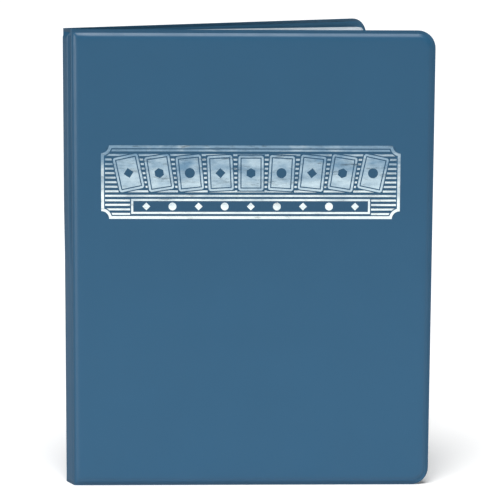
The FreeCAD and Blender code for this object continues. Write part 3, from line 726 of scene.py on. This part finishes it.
class Leaf:
    """One leaf, drawn from its crease line, with its pockets on the outer side."""

    def __init__(self, body):
        self.body = body
        number = int(body.split("_")[1])
        front = number <= len(PAGE_NAMES) // 2
        crease = f"{body}_crease"
        share = SHARES[crease]
        turn = FRONT_OPEN * (1 - share) if front else FRONT_OPEN + BACK_OPEN * share
        self.origin = joint_place(crease)
        self.panel = flat_frame(self.origin, turn, -1)
        corners = [v.co - self.origin for v in frame["nodes"][f"{body}_back_film"].data.vertices]
        self.length = max(corner.dot(self.panel[1]) for corner in corners)
        self.start = FILM_START
        self.seed = number * 3.7
        step = POCKET_WIDE + WELD_LINE
        self.lefts = [self.length - step * (3 - i) for i in range(3)]
        self.lows = [WELD_LINE + (POCKET_TALL + WELD_LINE) * i for i in range(3)]

    def in_pocket(self, along, up):
        """Distances to a pocket's left, right, bottom and top, or None on a weld."""
        for left in self.lefts:
            for low in self.lows:
                gaps = (along - left, left + POCKET_WIDE - along, up - low, low + POCKET_TALL - up)
                if min(gaps) > -HAIR:
                    return gaps
        return None

    def lines_along(self):
        near = [step * MM for step in CROSS_STEPS]
        lines = [self.start, self.start + 1.2 * MM]
        for left in self.lefts:
            lines += [left + step for step in near]
            lines += [left + POCKET_WIDE - step for step in reversed(near[:-1])]
        lines += [self.length - 1.2 * MM, self.length - 0.5 * MM, self.length]
        return [line for line in sorted(lines) if line >= self.start]

    def lines_up(self):
        lines = [0.0, 0.5 * MM, 1.2 * MM]
        for low in self.lows:
            lines += [low + step * MM for step in RISE_STEPS]
            lines += [low + POCKET_TALL - MOUTH_TALL, low + POCKET_TALL]
        lines += [PAGE_TALL - 1.2 * MM, PAGE_TALL - 0.5 * MM, PAGE_TALL]
        return sorted(lines)

    def round_corner(self, along, up):
        """Pulls the two free corners in to their radius."""
        across = (along - (self.length - PAGE_CORNER)) / PAGE_CORNER
        level = up if up < PAGE_TALL / 2 else PAGE_TALL - up
        rise = (PAGE_CORNER - level) / PAGE_CORNER
        if across <= 0 or rise <= 0:
            return along, up
        new_across = across * math.sqrt(1 - rise * rise / 2)
        new_rise = rise * math.sqrt(1 - across * across / 2)
        level = PAGE_CORNER - new_rise * PAGE_CORNER
        new_up = level if up < PAGE_TALL / 2 else PAGE_TALL - level
        return self.length - PAGE_CORNER + new_across * PAGE_CORNER, new_up

    def weld_kind(self, along, up):
        """Material number of a cell: clear in a pocket, ribbed on a weld."""
        return 0 if self.in_pocket(along, up) else 1

    def over_mouth(self, along, up):
        """Where the front film is kept: everywhere but at the pockets' mouths."""
        gaps = self.in_pocket(along, up)
        return not gaps or gaps[3] > MOUTH_TALL or min(gaps[:2]) < MOUTH_END

    def pocket_heights(self, along, up):
        gaps = self.in_pocket(along, up)
        lift = 0.0
        if gaps:
            sides = ease(min(gaps[:2]), 9 * MM)
            bottom = ease(gaps[2], 10 * MM)
            ripple = noise.noise(Vector((along, up, self.seed * MM)) / (24 * MM))
            lift = sides * bottom * (PILLOW + PILLOW_RIPPLE * ripple)
            lift += PILLOW_EDGE * ease(min(gaps[:3]), 1.5 * MM)
        return lift + FILM, lift

    def back_heights(self, along, up):
        return 0.0, -FILM

    def make(self):
        flat = on_panel(self.panel)

        def place(x, z, high):
            return flat(x, z - PAGE_SLOPE * x, high)

        grid = (self.lines_along(), self.lines_up())
        made = (
            ("pockets", self.pocket_heights, self.over_mouth, "pocket_film", "pocket_film"),
            ("back", self.back_heights, None, "back_film", "clear_film"),
        )
        for part, heights, keep, node, slot in made:
            sheet = grid_sheet(*grid, heights, keep, self.weld_kind, self.round_corner)
            piece = solid(f"{self.body}_{part}", sheet, place, [FILM_CLEAR, FILM_WELD])
            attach(piece, self.body)
            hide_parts(f"{self.body}_{node}")


# ---------------------------------------------------------------- pieces kept from the frame

def dress(words, material):
    """Gives the material to the nodes whose names start or end with the words."""
    for name, node in frame["nodes"].items():
        if name.startswith(words) or name.endswith(words):
            node.data.materials.clear()
            node.data.materials.append(material)


# ---------------------------------------------------------------- stage, light and camera

FLOOR_REACH = 14.0
SKY = (0.98, 0.99, 1.0, 1)
SKY_STRENGTH = 0.28
SUN_ENERGY = 3.15
SUN_WIDE = math.radians(34)
SUN_TILT = (math.radians(22), math.radians(-4), 0)      # high, in front and a little to the left
LAMP_SIZE = (0.3, 1.2)
LENS = 165.3
CAMERA_FROM_HINGE = Vector((66.0, -1446.8, 394.1)) * MM
CAMERA_TURNS = ((-1.857, "Z"), (90 - 9.395, "X"), (0.317, "Z"))     # yaw, downward pitch, roll


def make_stage():
    floor_mesh = bpy.data.meshes.new("floor")
    spots = ((-1, -1), (1, -1), (1, 1), (-1, 1))
    corners = [(x * FLOOR_REACH, y * FLOOR_REACH, 0) for x, y in spots]
    floor_mesh.from_pydata(corners, [], [(0, 1, 2, 3)])
    floor = bpy.data.objects.new("floor", floor_mesh)
    bpy.context.scene.collection.objects.link(floor)
    material, _, _, shader = new_material("floor_paper")
    shader.inputs["Base Color"].default_value = (0.98, 0.98, 0.98, 1)
    shader.inputs["Roughness"].default_value = 0.9
    shader.inputs["Specular IOR Level"].default_value = 0.1
    floor_mesh.materials.append(material)


def side_lamp(name, place, power):
    """A tall softbox that faces the middle of the album."""
    light = bpy.data.lights.new(name, "AREA")
    light.shape = "RECTANGLE"
    light.size, light.size_y = LAMP_SIZE
    light.energy = power
    lamp = bpy.data.objects.new(name, light)
    lamp.location = place
    lamp.rotation_mode = "QUATERNION"
    middle = Vector((0.0, 0.0, COVER_TALL / 2))
    lamp.rotation_quaternion = (middle - Vector(place)).to_track_quat("-Z", "Y")
    bpy.context.scene.collection.objects.link(lamp)
    return lamp


def make_light():
    world = bpy.data.worlds.new("studio")
    world.use_nodes = True
    background = world.node_tree.nodes["Background"]
    background.inputs["Color"].default_value = SKY
    background.inputs["Strength"].default_value = SKY_STRENGTH
    bpy.context.scene.world = world
    side_lamp("edge", (-1.75, -0.85, 0.45), 2.5)
    sheen = side_lamp("sheen", (-1.8, -0.6, 0.45), 14)
    sheen.visible_diffuse = False
    ceiling = bpy.data.lights.new("ceiling", "SUN")
    ceiling.energy = SUN_ENERGY
    ceiling.angle = SUN_WIDE
    lamp = bpy.data.objects.new("ceiling", ceiling)
    lamp.rotation_euler = SUN_TILT
    bpy.context.scene.collection.objects.link(lamp)
    view = bpy.context.scene.view_settings
    view.view_transform = "Standard"
    view.look = "None"
    bpy.context.scene.cycles.transparent_max_bounces = 96


def make_camera():
    """A long lens, a little above the album and in front of its front cover."""
    data = bpy.data.cameras.new("camera")
    data.sensor_width = 36
    data.lens = LENS
    data.clip_end = 60
    camera = bpy.data.objects.new("camera", data)
    camera.matrix_world = Matrix.Translation(FRONT_HINGE + CAMERA_FROM_HINGE)
    for angle, axis in CAMERA_TURNS:
        camera.matrix_world = camera.matrix_world @ Matrix.Rotation(math.radians(angle), 4, axis)
    bpy.context.scene.collection.objects.link(camera)
    bpy.context.scene.camera = camera


for cover_side in SIDES:
    make_cover(cover_side)
make_spine()
for page in PAGE_NAMES:
    Leaf(page).make()
dress("foil_", FOIL)
dress("foil_cards", FOIL_CARDS)
dress("_margin", MARGIN)
dress("binding_channel", CHANNEL)
dress("staple_", WIRE)
make_stage()
make_light()
make_camera()
